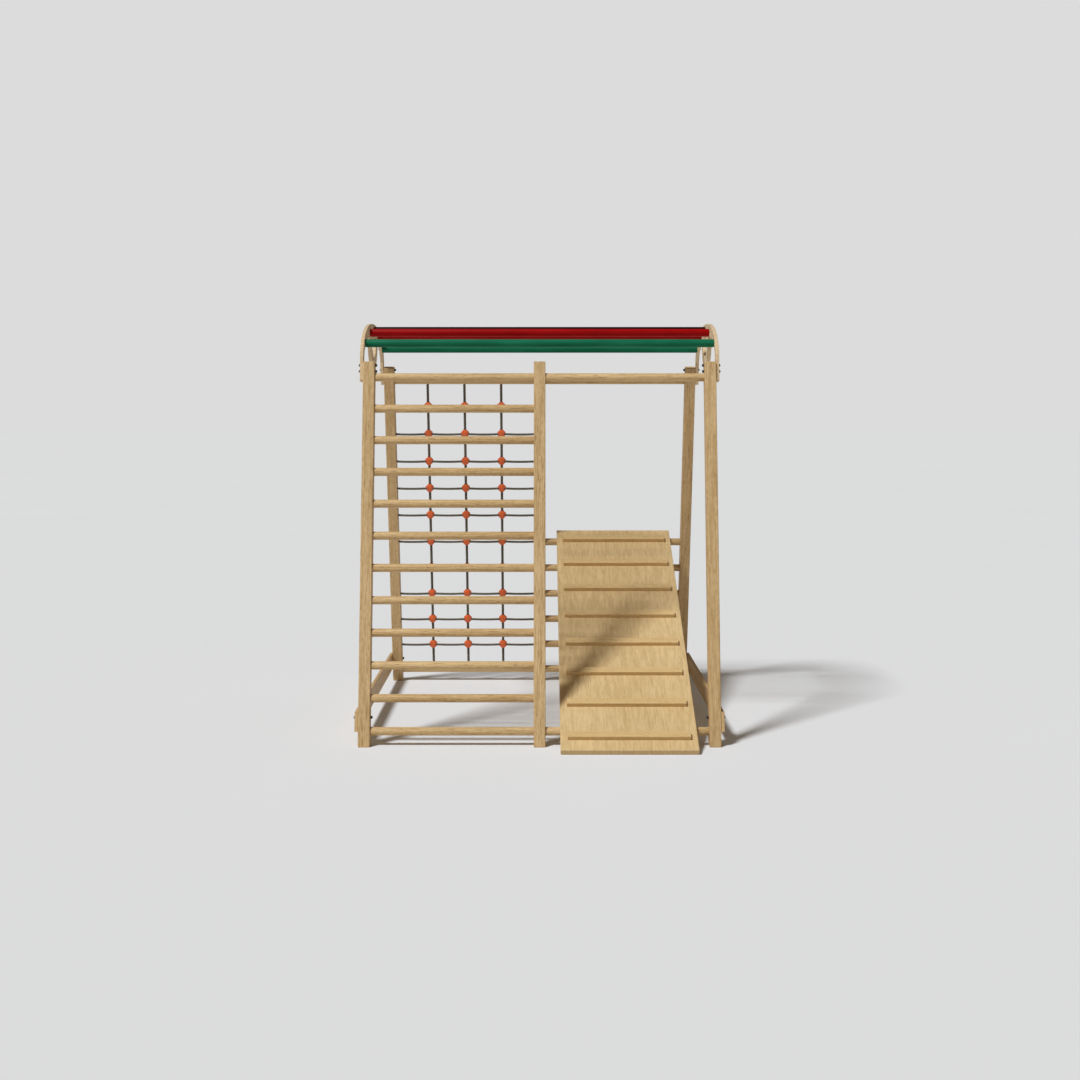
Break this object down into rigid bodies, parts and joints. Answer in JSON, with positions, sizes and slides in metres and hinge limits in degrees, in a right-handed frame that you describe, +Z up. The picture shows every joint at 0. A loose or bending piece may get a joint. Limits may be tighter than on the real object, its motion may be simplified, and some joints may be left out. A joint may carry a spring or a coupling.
{
  "type": "toddler climbing frame with slide ramp",
  "caption": "Wooden A-frame climber for toddlers with ladder rungs, a rope net, arched tops with bars to hang from, and a cleated ramp hooked over a rung.",
  "frame": {"origin": "on the floor, at the middle of the whole object's box", "axes": "+Z up, X across the width, the ramp's toe and the front ladder towards -Y"},
  "size_m": [1.247, 1.3698, 1.4312],
  "materials": {
    "post_pine": "planed pine, clear lacquer",
    "rung_beech": "turned beech, clear lacquer",
    "arch_plywood": "birch plywood, clear lacquer",
    "bar_green": "turned beech, glossy green paint",
    "bar_red": "turned beech, glossy red paint",
    "bar_black": "turned beech, glossy black paint",
    "rail_plywood": "birch plywood, clear lacquer",
    "ramp_wood": "edge-glued pine board, clear lacquer",
    "cleat_beech": "planed beech, clear lacquer",
    "hook_plywood": "birch plywood, clear lacquer",
    "net_rope": "braided rope",
    "net_plastic": "moulded, satin",
    "black_steel": "black coated",
    "zinc_steel": "zinc plated"
  },
  "bodies": {
    "root": {"post_front_left": "post_pine", "post_front_centre": "post_pine", "post_front_right": "post_pine", "post_back_left": "post_pine", "post_back_centre": "post_pine", "post_back_right": "post_pine", "rung_front_left_1": "rung_beech", "rung_front_left_2": "rung_beech", "rung_front_left_3": "rung_beech", "rung_front_left_4": "rung_beech", "rung_front_left_5": "rung_beech", "rung_front_left_6": "rung_beech", "rung_front_left_7": "rung_beech", "rung_front_left_8": "rung_beech", "rung_front_left_9": "rung_beech", "rung_front_left_10": "rung_beech", "rung_front_left_11": "rung_beech", "rung_front_left_12": "rung_beech", "rung_front_right_1": "rung_beech", "rung_front_right_12": "rung_beech", "rung_back_left_1": "rung_beech", "rung_back_left_12": "rung_beech", "rung_back_right_1": "rung_beech", "rung_back_right_2": "rung_beech", "rung_back_right_3": "rung_beech", "rung_back_right_4": "rung_beech", "rung_back_right_5": "rung_beech", "rung_back_right_6": "rung_beech", "rung_back_right_12": "rung_beech", "arch_left": "arch_plywood", "arch_right": "arch_plywood", "top_bar_1": "bar_green", "top_bar_5": "bar_green", "top_bar_2": "bar_red", "top_bar_4": "bar_red", "top_bar_3": "bar_black", "side_rail_left": "rail_plywood", "side_rail_right": "rail_plywood", "net_upright_ropes": "net_rope", "net_cross_ropes": "net_rope", "net_connectors": "net_plastic", "arch_bolts": "black_steel", "arch_nuts": "black_steel", "rail_bolts": "black_steel", "rail_nuts": "black_steel", "bar_screws": "black_steel"},
    "ramp": {"ramp_board": "ramp_wood", "ramp_cleat_1": "cleat_beech", "ramp_cleat_2": "cleat_beech", "ramp_cleat_3": "cleat_beech", "ramp_cleat_4": "cleat_beech", "ramp_cleat_5": "cleat_beech", "ramp_cleat_6": "cleat_beech", "ramp_cleat_7": "cleat_beech", "ramp_cleat_8": "cleat_beech", "ramp_hook_left": "hook_plywood", "ramp_hook_right": "hook_plywood", "cleat_screws": "zinc_steel", "hook_screws": "zinc_steel"}
  },
  "joints": [
    {"name": "ramp_tilt", "type": "hinge", "parent": "root", "child": "ramp", "pos_m": [0.2955, 0.5398, 0.58664], "axis": [-1, 0, 0], "range_deg": [0, 50]}
  ]
}
